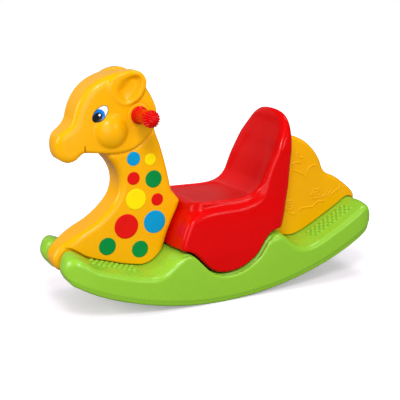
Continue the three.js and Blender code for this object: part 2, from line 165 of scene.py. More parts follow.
# ---------------------------------------------------------------- signed distances


def spline(points, spacing=2.0):
    """Points along a closed smooth curve through the given ones."""
    p = np.asarray(points, float)
    out = []
    for i in range(len(p)):
        a, b, c, d = p[i - 1], p[i], p[(i + 1) % len(p)], p[(i + 2) % len(p)]
        n = max(1, int(np.hypot(*(c - b)) / spacing))
        k1, k2, k3 = (math.sqrt(max(np.hypot(*(v - u)), 1e-6)) for u, v in ((a, b), (b, c), (c, d)))
        m1 = (c - b) + k2 * ((b - a) / k1 - (c - a) / (k1 + k2))
        m2 = (c - b) + k2 * ((d - c) / k3 - (d - b) / (k2 + k3))
        t = np.arange(n)[:, None] / n
        h = 2 * t**3 - 3 * t**2
        out.append(b * (1 + h) + c * -h + m1 * (t**3 - 2 * t**2 + t) + m2 * (t**3 - t**2))
    return np.concatenate(out)


def mirrored(right):
    """A closed outline from its right half, which starts and ends on the middle line."""
    left = [(-x, y) for x, y in reversed(right) if x > 0]
    return list(right) + left


class Outline:
    """Signed distance to a closed outline, kept on a grid and read through a cubic B-spline."""

    def __init__(self, points, step=1.5, margin=45):
        p = spline(points)
        q = np.roll(p, -1, axis=0)
        self.step = step
        self.low = p.min(0) - margin
        shape = np.ceil((p.max(0) + margin - self.low) / step).astype(int) + 4
        a = self.low[0] + step * np.arange(shape[0])
        b = self.low[1] + step * np.arange(shape[1])
        self.values = np.empty(shape)
        edge = q - p
        length2 = np.maximum((edge**2).sum(1), 1e-9)
        for i, u in enumerate(a):
            du, dv = u - p[:, 0], b[:, None] - p[:, 1]
            t = np.clip((du * edge[:, 0] + dv * edge[:, 1]) / length2, 0, 1)
            near = np.hypot(du - t * edge[:, 0], dv - t * edge[:, 1]).min(1)
            spans = (p[:, 1] > b[:, None]) != (q[:, 1] > b[:, None])
            rise = np.where(edge[:, 1] == 0, 1, edge[:, 1])
            crosses = spans & (u < p[:, 0] + dv * edge[:, 0] / rise)
            self.values[i] = np.where(crosses.sum(1) % 2, -near, near)

    def __call__(self, u, v):
        return sample(self.values, self.low, self.step, u, v)


def sample(values, low, step, u, v):
    """Cubic B-spline reading of a grid of values at u and v."""
    u, v = np.broadcast_arrays((u - low[0]) / step, (v - low[1]) / step)
    u = np.clip(u, 1, values.shape[0] - 3.001)
    v = np.clip(v, 1, values.shape[1] - 3.001)
    i, j = u.astype(int), v.astype(int)
    wu, wv = bspline(u - i), bspline(v - j)
    flat, width = values.ravel(), values.shape[1]
    at = (i - 1) * width + j - 1
    out = 0
    for a in range(4):
        row = 0
        for b in range(4):
            row = row + wv[b] * flat[at + a * width + b]
        out = out + wu[a] * row
    return out


def bspline(t):
    return (
        (1 - t) ** 3 / 6,
        (3 * t**3 - 6 * t**2 + 4) / 6,
        (-3 * t**3 + 3 * t**2 + 3 * t + 1) / 6,
        t**3 / 6,
    )


def join(a, b, k):
    """The union of two distances with a fillet of about k."""
    h = np.maximum(k - np.abs(a - b), 0) / k
    return np.minimum(a, b) - h * h * k * 0.25


def meet(a, b, k):
    """The intersection of two distances with its edge eased by about k."""
    return -join(-a, -b, k)


def rounded(u, v, ru, rv=None):
    """Two crossing distances met with an elliptical edge of ru by rv."""
    rv = ru if rv is None else rv
    u, v = u / ru + 1, v / rv + 1
    out = np.hypot(np.maximum(u, 0), np.maximum(v, 0))
    return (out + np.minimum(np.maximum(u, v), 0) - 1) * np.minimum(ru, rv)


def ease(low, high, t):
    """0 below low, 1 above high, and smooth between them."""
    t = np.clip((t - low) / (high - low), 0, 1)
    return t * t * (3 - 2 * t)


def bump(distance, width):
    """1 on a line, falling to 0 over its width."""
    return np.exp(-((distance / width) ** 2))


def mesh_of(field, low, high, voxel):
    """Vertices in millimetres, quads and vertex normals of the surface where field is 0."""
    low = np.asarray(low, float)
    x, y, z = (np.arange(a, b + voxel, voxel) for a, b in zip(low, high))
    values = field(x[:, None, None], y[None, :, None], z[None, None, :])
    limit = 3 * voxel
    grid = vdb.FloatGrid()
    grid.background = limit
    grid.copyFromArray(np.ascontiguousarray(np.clip(values, -limit, limit), dtype=np.float32))
    points, quads = grid.convertToQuads(isovalue=0.0)
    points = settle(field, low + points.astype(float) * voxel, voxel)
    normals = gradient(field, points, 0.5)
    return points, quads, normals / np.maximum(np.linalg.norm(normals, axis=1), 1e-6)[:, None]


def gradient(field, points, e):
    """The field's slope along each axis, over a distance of 2 e."""
    steps = [field(*(points + e * axis).T) - field(*(points - e * axis).T) for axis in np.eye(3)]
    return np.stack(steps, axis=1) / (2 * e)


def settle(field, points, voxel, rounds=4):
    """Moves points onto the exact surface, along the field's gradient."""
    for _ in range(rounds):
        value = field(*points.T)
        slope = gradient(field, points, 0.2)
        size = np.maximum((slope**2).sum(1), 0.05)
        move = (value / size)[:, None] * slope
        reach = np.maximum(np.linalg.norm(move, axis=1) / (0.5 * voxel), 1)[:, None]
        points = points - move / reach
    return points


# ---------------------------------------------------------------- making pieces


def piece(name, points, faces, material, slot, *replaced, normals=None):
    """A smooth-shaded mesh object, from millimetres, that rides on the one body."""
    mesh = bpy.data.meshes.new(name)
    points = np.asarray(points, float) * MM
    mesh.from_pydata(points.tolist(), [], [list(map(int, f)) for f in faces])
    mesh.validate()
    mesh.shade_smooth()
    if normals is not None:
        mesh.normals_split_custom_set_from_vertices(normals.tolist())
    mesh.materials.append(material)
    obj = bpy.data.objects.new(name, mesh)
    bpy.context.scene.collection.objects.link(obj)
    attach(obj, "root")
    if replaced:
        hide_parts(*replaced)


def moulded(name, field, low, high, voxel, material, slot):
    """A piece that follows a field inside a box, and replaces the CAD node of the same name."""
    points, quads, normals = mesh_of(field, low, high, voxel)
    piece(name, points, quads, material, slot, name, normals=normals)


# ---------------------------------------------------------------- materials


def material(name, roughness=0.35, **sockets):
    """A Principled material with fixed numbers set on its own sockets."""
    mat = bpy.data.materials.new(name)
    mat.use_nodes = True
    shader = mat.node_tree.nodes["Principled BSDF"]
    shader.inputs["Roughness"].default_value = roughness
    for socket, value in sockets.items():
        shader.inputs[socket.replace("_", " ")].default_value = value
    return mat, mat.node_tree, shader


def linear(colour):
    """A scene-linear colour from 0-255 sRGB numbers."""
    values = [c / 255 for c in colour]
    return tuple(v / 12.92 if v <= 0.04045 else ((v + 0.055) / 1.055) ** 2.4 for v in values) + (1,)


def link(tree, value, shader, socket):
    tree.links.new(value, shader.inputs[socket])


def roughen(tree, shader, grain, low, high):
    """An uneven gloss, between two roughnesses."""
    link(tree, spread(tree, grain, 0.3, 0.7, low, high), shader, "Roughness")


def relief(tree, shader, height, strength, distance):
    """A bump map whose heights are given in units of distance, in metres."""
    bumped = node(
        tree, "ShaderNodeBump", {"Height": height, "Strength": strength, "Distance": distance}
    )
    link(tree, bumped.outputs[0], shader, "Normal")


def node(tree, kind, inputs=(), **settings):
    made = tree.nodes.new(kind)
    for key, value in settings.items():
        setattr(made, key, value)
    for key, value in dict(inputs).items():
        if isinstance(value, bpy.types.NodeSocket):
            tree.links.new(value, made.inputs[key])
        else:
            made.inputs[key].default_value = value
    return made


def maths(tree, operation, *values, clamp=False):
    return node(
        tree, "ShaderNodeMath", dict(enumerate(values)), operation=operation, use_clamp=clamp
    ).outputs[0]


def noise(tree, place, scale, detail=3.0):
    made = node(tree, "ShaderNodeTexNoise", {"Vector": place, "Scale": scale, "Detail": detail})
    return made.outputs["Fac"]


def spread(tree, value, low, high, out_low, out_high, smooth=False):
    kind = "SMOOTHSTEP" if smooth else "LINEAR"
    made = node(
        tree,
        "ShaderNodeMapRange",
        {"Value": value, "From Min": low, "From Max": high, "To Min": out_low, "To Max": out_high},
        interpolation_type=kind,
    )
    return made.outputs["Result"]


def mix(tree, factor, a, b):
    made = node(tree, "ShaderNodeMix", data_type="RGBA")
    for index, value in ((0, factor), (6, a), (7, b)):
        if isinstance(value, bpy.types.NodeSocket):
            tree.links.new(value, made.inputs[index])
        else:
            made.inputs[index].default_value = value
    return made.outputs[2]


SCUFF_HEIGHT, PEEL_HEIGHT, GRAIN_HEIGHT = 0.006, 0.02, 0.22  # each in units of 2 mm


def plastic(name, colour, shade, roughness, matte=None, specular=0.2):
    """Moulded polyethylene: faintly uneven colour, orange peel, fine scuffs and an uneven gloss.

    matte, if given, is a function of the tree and the place that returns 0 to 1, where 1 is grained.
    """
    mat, tree, shader = material(name, Specular_IOR_Level=specular)
    place = node(tree, "ShaderNodeTexCoord").outputs["Object"]
    cloud = spread(tree, noise(tree, place, 9, 4), 0.35, 0.65, 0, 1)
    speck = spread(tree, noise(tree, place, 420, 2), 0.4, 0.7, 0, 0.35)
    base = mix(tree, maths(tree, "MULTIPLY", cloud, 0.55), linear(colour), linear(shade))
    base = mix(tree, maths(tree, "MULTIPLY", speck, 0.25), base, linear(shade))
    mask = matte(tree, place) if matte else None
    if matte:
        base = mix(tree, mask, base, linear(GRAINED_RED))
    link(tree, base, shader, "Base Color")
    gloss = spread(tree, noise(tree, place, 30, 5), 0.3, 0.7, roughness - 0.03, roughness + 0.04)
    fine = maths(tree, "MULTIPLY", noise(tree, place, 900, 2), SCUFF_HEIGHT)
    height = maths(tree, "ADD", maths(tree, "MULTIPLY", noise(tree, place, 60, 2), PEEL_HEIGHT), fine)
    if matte:
        gloss = maths(tree, "ADD", gloss, maths(tree, "MULTIPLY", mask, 0.18))
        grained = maths(tree, "MULTIPLY", noise(tree, place, 700, 3), GRAIN_HEIGHT)
        height = maths(tree, "ADD", height, maths(tree, "MULTIPLY", mask, grained))
    link(tree, gloss, shader, "Roughness")
    relief(tree, shader, height, 0.35, 0.002)
    return mat


def vinyl(name, colour, shade):
    """Printed vinyl sticker: flat colour with faint print mottle and a dull gloss."""
    mat, tree, shader = material(name, roughness=0.38, Specular_IOR_Level=0.15)
    place = node(tree, "ShaderNodeTexCoord").outputs["Object"]
    cloud = spread(tree, noise(tree, place, 26, 3), 0.35, 0.65, 0, 0.5)
    link(tree, mix(tree, cloud, linear(colour), linear(shade)), shader, "Base Color")
    roughen(tree, shader, noise(tree, place, 55, 3), 0.33, 0.43)
    relief(tree, shader, noise(tree, place, 35, 2), 0.15, 0.002)
    return mat


def axis_of(tree, place, axis):
    return node(tree, "ShaderNodeSeparateXYZ", {0: place}).outputs[axis]


def seat_grain(tree, place):
    """The grained panel on the saddle's top."""
    x, y, z = (axis_of(tree, place, a) for a in "XYZ")
    near, far = PANEL_HALF * MM - 0.006, PANEL_HALF * MM
    mask = spread(tree, maths(tree, "ABSOLUTE", x), near, far, 1, 0, smooth=True)
    top = spread(tree, z, 0.222, 0.2245, 0, 1, smooth=True)
    front = spread(tree, y, -0.0745, -0.0715, 0, 1, smooth=True)
    rear = spread(tree, y, 0.047, 0.052, 1, 0, smooth=True)
    for part in (top, front, rear):
        mask = maths(tree, "MULTIPLY", mask, part)
    return mask


def eye_print(name):
    """The printed eye: thin black outline, white, blue iris, black pupil and a small glint."""
    mat, tree, shader = material(name, roughness=0.3, Specular_IOR_Level=0.3)
    place = node(tree, "ShaderNodeTexCoord").outputs["Object"]
    y, z = axis_of(tree, place, "Y"), axis_of(tree, place, "Z")
    dy, dz = maths(tree, "SUBTRACT", y, EYE["y"] * MM), maths(tree, "SUBTRACT", z, EYE["z"] * MM)
    c, s = math.cos(EYE["tilt"]) / MM, math.sin(EYE["tilt"]) / MM

    def turned(a, b):
        return maths(tree, "ADD", maths(tree, "MULTIPLY", dy, a), maths(tree, "MULTIPLY", dz, b))

    along, across = turned(c, s), turned(-s, c)

    def oval(u, v, ru, rv, soft):
        """1 inside an ellipse given in millimetres along and across the eye."""
        du = maths(tree, "DIVIDE", maths(tree, "SUBTRACT", along, u), ru)
        dv = maths(tree, "DIVIDE", maths(tree, "SUBTRACT", across, v), rv)
        square = maths(tree, "ADD", maths(tree, "MULTIPLY", du, du), maths(tree, "MULTIPLY", dv, dv))
        return spread(tree, maths(tree, "SQRT", square), 1 - soft, 1 + soft, 1, 0, smooth=True)

    length, height = EYE["long"], EYE["short"]
    depth = spread(tree, along, -18, 8, 0, 1)
    blue = mix(tree, depth, linear((0, 62, 158)), linear((0, 128, 224)))
    paper = mix(tree, noise(tree, place, 60, 2), linear((236, 238, 242)), linear((250, 250, 250)))
    colour = mix(tree, oval(-7.5, 0, 16.6, 14.6, 0.03), paper, blue)
    colour = mix(tree, oval(-9.3, -0.6, 11.8, 8.9, 0.05), colour, linear((8, 6, 9)))
    colour = mix(tree, oval(-2.6, -0.5, 2.5, 2.5, 0.15), colour, linear((245, 245, 250)))
    inside = oval(0, 0, length - 1.3, height - 1.2, 0.03)
    colour = mix(tree, inside, linear((14, 12, 20)), colour)
    link(tree, colour, shader, "Base Color")
    roughen(tree, shader, noise(tree, place, 80, 3), 0.26, 0.36)
    return mat


def steel(name):
    """Zinc-plated steel: a fine bumpy grain and a patchy, slightly yellowed plating."""
    mat, tree, shader = material(name, Metallic=0.95)
    place = node(tree, "ShaderNodeTexCoord").outputs["Object"]
    patch = spread(tree, noise(tree, place, 160, 4), 0.35, 0.65, 0, 1)
    zinc = mix(tree, patch, linear((178, 181, 186)), linear((196, 190, 170)))
    link(tree, zinc, shader, "Base Color")
    roughen(tree, shader, noise(tree, place, 500, 3), 0.28, 0.45)
    relief(tree, shader, noise(tree, place, 1500, 2), 0.2, 0.0003)
    return mat


ORANGE = plastic("orange_polyethylene", (241, 172, 0), (237, 166, 0), 0.24)
RED = plastic("red_polyethylene", (214, 2, 3), (207, 1, 2), 0.22, matte=seat_grain, specular=0.15)
GRIP_RED = plastic("red_grip_plastic", (212, 2, 3), (200, 1, 2), 0.26)
LIME = plastic("lime_polyethylene", (144, 200, 50), (139, 194, 44), 0.27, specular=0.4)
EYE_PRINT = eye_print("eye_print")
STEEL = steel("zinc_plated_steel")
VINYLS = {
    "blue": vinyl("vinyl_blue", (0, 150, 205), (0, 140, 198)),
    "yellow": vinyl("vinyl_yellow", (250, 222, 0), (244, 214, 0)),
    "red": vinyl("vinyl_red", (222, 18, 10), (212, 10, 6)),
    "green": vinyl("vinyl_green", (0, 136, 62), (0, 126, 54)),
}

# ---------------------------------------------------------------- the rocker base


def arc_z(y):
    """Height of the rockers' arc."""
    ahead = y - ROCKER_CENTRE[0]
    return ROCKER_CENTRE[1] - np.sqrt(np.maximum(ROCKER_RADIUS**2 - ahead**2, 1))


def base_outline():
    bottom = [(y, float(arc_z(y))) for y in range(-375, 371, 15)]
    return bottom + BASE_TOP


BASE = Outline(base_outline())
BASE_PLAN = Outline(mirrored(BASE_PLAN_RIGHT), step=2)


def deck_drop(x, y):
    """How much lower the deck is outwards, and in the groove at the foot of the seat's flanks."""
    free = 1 - ease(-142, -98, y) * (1 - ease(84, 112, y))
    across = np.abs(x)
    start, full, still_full, end, depth = GROOVE
    groove = ease(start, full, across) * (1 - ease(still_full, end, across)) * (1 - free)
    return DECK_FALL * free * ease(70, 124, across) + depth * groove


def base_profile(x, y, z):
    """The side profile, with the deck falling away outwards.

    The foot hangs a little lower towards the rear end and lifts a little at the front end.
    """
    above = z - arc_z(y)
    fuller = 3.5 * ease(80, 330, y) - 2.5 * (1 - ease(-385, -310, y))
    drop = deck_drop(x, y) * ease(18, 62, above)
    return BASE(y, z + drop + fuller * (1 - ease(10, 50, above)))


def base_field(x, y, z):
    height = z - arc_z(y)
    foot = 1.2 * (1 - ease(2, 12, height)) + 1.4 * (1 - ease(9, 15, height))
    under_seat = ease(-142, -110, y) * (1 - ease(84, 112, y))
    top_round = DECK_ROUND - RIM_ROUND_LOSS * under_seat
    edge = FOOT_ROUND + (top_round - FOOT_ROUND) * ease(20, 45, height)
    body = rounded(base_profile(x, y, z), BASE_PLAN(x, y) + 1 + foot, edge)
    to_centre = np.hypot(y - ROCKER_CENTRE[0], z - ROCKER_CENTRE[1])
    channel = np.maximum(ROCKER_RADIUS - ROCKER_HEIGHT - to_centre, np.abs(x) - CHANNEL_HALF)
    body = meet(body, -channel, 3)
    for well_x, well_y in SCREW_WELLS:
        inside = WELL_RADIUS - np.hypot(x - well_x, y - well_y)
        roof = np.interp(well_y, *np.array(sorted(DECK)).T) - WELL_ROOF
        well = np.minimum(inside, 0) + np.maximum(0, np.minimum(inside, roof - z))
        body = np.maximum(body, well)
    return body


def make_base():
    moulded("rocker_base", base_field, (-126, -402, -6), (126, 402, 194), 3.0, LIME, "lime_plastic")


def deck_height(x, y):
    """The deck's top at places x and y, by halving."""
    low, high = np.full(len(x), 60.0), np.full(len(x), 200.0)
    low = np.maximum(low, arc_z(y) + 30)
    for _ in range(24):
        middle = (low + high) / 2
        outside = base_field(x, y, middle) > 0
        high, low = np.where(outside, middle, high), np.where(outside, low, middle)
    return (low + high) / 2


def domes(name, places, radius, height, sink=1.5):
    """Raised grip studs that stand square to the deck, as one mesh of closed low domes."""
    x, y = np.array(places, float).T
    tops = np.stack([x, y, deck_height(x, y)], axis=1)
    slope = np.stack([
        (deck_height(x - 1, y) - deck_height(x + 1, y)) / 2,
        (deck_height(x, y - 1) - deck_height(x, y + 1)) / 2,
        np.ones(len(x)),
    ], axis=1)
    rings, around = 7, 20
    # each ring's distance from the stud's axis and its height; the last one is under the deck
    leans = [(math.pi / 2) * (ring + 1) / rings for ring in range(rings)]
    profile = [(radius * math.sin(lean), height * math.cos(lean)) for lean in leans]
    profile.append((radius * 1.15, -sink))
    turns = [2 * math.pi * j / around for j in range(around)]
    points, faces = [], []
    for centre, steep in zip(tops, slope):
        up = steep / np.linalg.norm(steep)
        side = np.cross(up, (0, 1, 0))
        side /= np.linalg.norm(side)
        ahead = np.cross(up, side)
        first = len(points)
        for r, h in profile:
            for turn in turns:
                flat = side * math.cos(turn) + ahead * math.sin(turn)
                points.append(centre + flat * r + up * h)
        points += [centre + up * height, centre - up * sink]
        top, bottom = len(points) - 2, len(points) - 1
        last = first + rings * around
        for j in range(around):
            k = (j + 1) % around
            faces.append((top, first + j, first + k))
            for ring in range(rings):
                a, b = first + ring * around, first + (ring + 1) * around
                faces.append((a + j, b + j, b + k, a + k))
            faces.append((bottom, last + k, last + j))
    piece(name, points, faces, LIME, "lime_plastic")


def stud_places(side, first_x, first_y, pitch, rows=4, columns=9, row_pitch=9.4):
    """Staggered rows of studs, which run along Y."""
    return [
        (side * (first_x + row_pitch * row), first_y + pitch * (i + 0.5 * (row % 2)))
        for row in range(rows)
        for i in range(columns)
    ]


def make_studs():
    for label, side in (("left", 1), ("right", -1)):
        domes(f"front_grip_studs_{label}", stud_places(side, 52, -224, -11.4), 4.7, 3.5)
        domes(f"rear_grip_studs_{label}", stud_places(side, 60, 234, 12.0), 4.9, 3.8)


# ---------------------------------------------------------------- the giraffe

HEAD_SIDE = Outline(HEAD)
HEAD_PLAN = Outline(mirrored(HEAD_PLAN_RIGHT))
NECK_SIDE = Outline(NECK)
EAR_SIDE = Outline(EAR, step=1.0)
BOWL_SIDE = Outline(EAR_BOWL, step=1.0)


def stands_on_base(body, x, y, z, slot_half=33, slot_rear=-301, gap=BASE_GAP, ease_by=3):
    """Cuts away what the base fills, leaving a thin gap."""
    slot = np.maximum(np.abs(x) - slot_half, y - slot_rear)
    filled = np.maximum(BASE(y, z), -slot)
    return meet(body, gap - filled, ease_by)


def giraffe_field(x, y, z):
    across = np.abs(x)
    side = HEAD_SIDE(y, z)
    crown = 2.5 * np.clip(1 + side / 46, 0, 1) ** 2
    # the jaw is drawn in between the cheek and the corner of the jaw
    from_hollow = (y - JAW_HOLLOW["y"]) ** 2 + (z - JAW_HOLLOW["z"]) ** 2
    hollow = JAW_HOLLOW["depth"] * np.exp(-from_hollow / JAW_HOLLOW["spread"])
    # the edge is sharper along the jaw, from the chin round to the nape
    jaw = 1 - ease(365, 405, z) * (1 - ease(-215, -185, y) * (1 - ease(435, 470, z)))
    head = rounded(side, across - HEAD_HALF + crown + hollow, 20 - 12 * jaw, 17 - 11 * jaw)
    head = meet(head, HEAD_PLAN(x, y), 14)

    cheek_x = (across - CHEEK["x"]) / CHEEK["flatness"]
    from_cheek = np.sqrt(cheek_x**2 + (y - CHEEK["y"]) ** 2 + (z - CHEEK["z"]) ** 2)
    head = join(head, 0.85 * (from_cheek - CHEEK["radius"]), 4)

    # the ear grows out of the flank towards its rear and is dished inside its rim
    ear_side = EAR_SIDE(y, z)
    rearward = ease(-240, -205, y)
    inside = -BOWL_SIDE(y, z)
    front_slope, rear_slope = ease(-3, 21, inside), ease(-1.5, 12, inside)
    dish = EAR_DEPTH * ((1 - rearward) * front_slope + rearward * rear_slope)
    lip = EAR_LIP * ease(-252, -202, y + 0.55 * (z - 480))
    outer = HEAD_HALF + lip - dish
    ear = np.maximum(rounded(ear_side, across - outer, 6), 30 - across)
    head = meet(head, -meet(ear_side + 5, outer - across, 3), 3)
    head = join(head, ear, 6)

    ring = np.hypot(y - HANDLE[0], z - HANDLE[1])
    ring_radius, ring_width, ring_depth = HANDLE_RING
    head = head + ring_depth * bump(ring - ring_radius, ring_width) * ease(30, 42, across)
    mouth_y = MOUTH["y"] - 0.5 * bump(z - MOUTH["z"] - 4, 5)
    mouth = np.maximum(
        np.abs(y - mouth_y) - MOUTH["half_width"], np.abs(z - MOUTH["z"]) - MOUTH["half_height"]
    )
    head = meet(head, -np.maximum(mouth, MOUTH["floor"] - across), 1.6)

    side = NECK_SIDE(y, z)
    crease_depth, crease_width = JAW_GROOVE
    half = NECK_HALF - TOE_TAPER * (1 - ease(-382, -330, y))
    half = half - crease_depth * bump(HEAD_SIDE(y, z), crease_width)
    crown = 2.0 * np.clip(1 + side / 40, 0, 1) ** 2
    neck = rounded(side, across - half + crown, 14, 14)
    return stands_on_base(join(head, neck, 2.5), x, y, z)


def make_giraffe():
    moulded(
        "giraffe_front", giraffe_field, (-64, -396, 76), (64, -96, 528), 2.0,
        ORANGE, "orange_plastic",
    )


def flank(field, y, z, side, start=76.0):
    """Where the surface of one flank is, in x, at places y and z."""
    y, z = np.asarray(y, float), np.asarray(z, float)
    x = np.full(y.shape, start)
    for _ in range(60):
        x = np.where(field(side * x, y, z) > 0, x - 1, x)
    low, high = x, x + 1
    for _ in range(14):
        middle = (low + high) / 2
        outside = field(side * middle, y, z) > 0
        low, high = np.where(outside, low, middle), np.where(outside, middle, high)
    return (low + high) / 2


def sticker(name, material_, slot, side, y, z, long, short=None, tilt=0.0):
    """A thin closed sticker that follows the flank it is stuck on."""
    short = short or long
    rings, around = 12, 64
    radii = [(i + 1) / rings for i in range(rings)]
    turn = 2 * math.pi * np.arange(around) / around
    u = np.concatenate([[0]] + [r * long * np.cos(turn) for r in radii])
    v = np.concatenate([[0]] + [r * short * np.sin(turn) for r in radii])
    py = y + u * math.cos(tilt) - v * math.sin(tilt)
    pz = z + u * math.sin(tilt) + v * math.cos(tilt)
    px = flank(giraffe_field, py, pz, side)
    lift = np.full(len(px), 0.45)
    lift[-around:] = 0.25
    top = np.stack([side * (px + lift), py, pz], axis=1)
    bottom = np.stack([side * (px - 0.6), py, pz], axis=1)
    n = len(px)
    faces = []
    for j in range(around):
        k = (j + 1) % around
        faces += [(0, 1 + j, 1 + k), (n, n + 1 + k, n + 1 + j)]
        for ring in range(rings - 1):
            a, b = 1 + ring * around, 1 + (ring + 1) * around
            faces.append((a + j, b + j, b + k, a + k))
            faces.append((n + a + k, n + b + k, n + b + j, n + a + j))
        edge = 1 + (rings - 1) * around
        faces.append((edge + j, n + edge + j, n + edge + k, edge + k))
    if side < 0:
        faces = [tuple(reversed(f)) for f in faces]
    piece(name, np.concatenate([top, bottom]), faces, material_, slot, name)


def make_stickers():
    for label, side in (("left", 1), ("right", -1)):
        for i, (colour, y, z, radius) in enumerate(DOTS, 1):
            name = f"dot_{label}_{i}_{colour}"
            sticker(name, VINYLS[colour], "sticker_" + colour, side, y, z, radius)
        sticker(
            f"eye_{label}", EYE_PRINT, "sticker_eye", side,
            EYE["y"], EYE["z"], EYE["long"], EYE["short"], EYE["tilt"],
        )


# ---------------------------------------------------------------- the seat

SEAT_SIDE = Outline(SEAT)
SHOULDER_SIDE = Outline(SHOULDER, step=2)
SEAT_BACK = Outline(mirrored(SEAT_BACK_RIGHT))
# The front face of the backrest.
FACE_Z, FACE_Y = zip((200, 20), (231, 42), (236, 58), (243, 70), (257, 83), (283, 97), (304, 107),
                     (327, 119), (349, 129), (365, 137), (383, 145), (402, 149))
# The front edge of the seat, and the half width of its rim.
FRONT_Z, FRONT_Y = zip((122, -134), (165, -119), (205, -101), (232, -90))
RIM_HALF = 93


def seat_field(x, y, z):
    across = np.abs(x)
    back = SEAT_BACK(x, z)
    # the rear of the flanks turns in a little behind a soft crease
    crease = 104 + 0.09 * (z - 130)
    turn_in = 0.12 * np.maximum(y - crease, 0) * ease(60, 90, across)
    side = SEAT_SIDE(y, z)
    # the rim rolls over a little more towards the top of the backrest
    roll = 9 + 4 * ease(300, 372, z)
    inner = rounded(side, back - 1, roll)
    # the front corners are round from above
    front = np.interp(z, FRONT_Z, FRONT_Y)
    inner = meet(inner, rounded(front - y, across - RIM_HALF, 30, 44), 3)
    step_side = meet(side, SHOULDER_SIDE(y, z), 4)
    shoulder = SHOULDER_STEP * ease(118, 200, z) * (1 - ease(325, 375, z))
    outer = rounded(step_side, back + turn_in - shoulder, 13, 11)
    body = join(inner, outer, 11)
    # shallow sunk panels: the saddle's top, which the red material grains, and the front of the
    # backrest
    face_y = np.interp(z, FACE_Z, FACE_Y)
    panel = 1 - ease(-30, 4, across - np.interp(z, *BACK_PANEL))
    in_face = ease(50, 56, y) * (1 - ease(face_y + 10, face_y + 16, y)) * panel
    in_face = in_face * (1 - ease(330, 390, z))
    panel = 1 - ease(-2, 1.5, across - np.interp(y, *SADDLE_PANEL))
    in_saddle = ease(-77, -73, y) * (1 - ease(49, 52, y)) * panel
    body = body + SADDLE_RECESS * in_saddle * ease(214, 222, z)
    body = body + BACK_RECESS * in_face * ease(222, 240, z)
    return stands_on_base(body, x, y, z, slot_half=-1, gap=SEAT_GAP, ease_by=8)


def make_seat():
    moulded("seat", seat_field, (-122, -142, 56), (122, 174, 420), 2.2, RED, "red_plastic")


# ---------------------------------------------------------------- the tail

TAIL_SIDE = Outline(TAIL)


def emboss():
    """Raised drawing on the tail's flanks: two six-petalled flowers, stems, leaves and a butterfly."""
    strokes = [
        [(221, 164), (228, 170), (243, 170), (258, 169), (267, 176), (276, 181), (293, 179)],
        [(285, 192), (296, 195), (300, 203)],
        [(305, 195), (309, 202)],
        [(315, 195), (325, 202), (334, 204), (339, 210), (340, 216)],
        [(199, 267), (208, 263), (221, 257), (233, 250), (240, 242)],
        [(241, 260), (247, 269), (256, 273), (265, 272)],
        [(197, 281), (206, 285), (219, 282)],
        [(211, 308), (214, 298), (225, 293)],
        [(192, 164), (199, 158), (208, 158)],
    ]
    for cy, cz in ((268, 201), (191, 181)):
        around = 2 * math.pi * np.arange(61) / 60
        for size, wave in ((11.5, 2.0), (4.0, 0)):
            r = size + wave * np.cos(6 * around)
            strokes.append(list(zip(cy + r * np.cos(around), cz + r * np.sin(around))))
    low, step, shape = (150, 120), 0.75, (300, 290)
    u = low[0] + step * np.arange(shape[0])[:, None]
    v = low[1] + step * np.arange(shape[1])[None, :]
    near = np.full(shape, 50.0)
    for stroke in strokes:
        for (a, b), (c, d) in zip(stroke, stroke[1:]):
            t = ((u - a) * (c - a) + (v - b) * (d - b)) / ((c - a) ** 2 + (d - b) ** 2)
            t = np.clip(t, 0, 1)
            near = np.minimum(near, np.hypot(u - a - t * (c - a), v - b - t * (d - b)))
    return bump(near, 1.5), low, step


EMBOSS = emboss()


def tail_field(x, y, z):
    side = TAIL_SIDE(y, z)
    crown = 2.5 * np.clip(1 + side / 40, 0, 1) ** 2
    raised = EMBOSS_HEIGHT * sample(*EMBOSS, y, z)
    body = rounded(side - 0.8, np.abs(x) - TAIL_HALF + 1 + crown - raised, 11, 12)
    body = meet(body, 1.4 - SEAT_SIDE(y, z), 3)
    return stands_on_base(body, x, y, z, slot_half=-1)


def make_tail():
    moulded(
        "giraffe_tail", tail_field, (-46, 132, 96), (46, 390, 360), 1.45, ORANGE, "orange_plastic"
    )


# ---------------------------------------------------------------- the grips


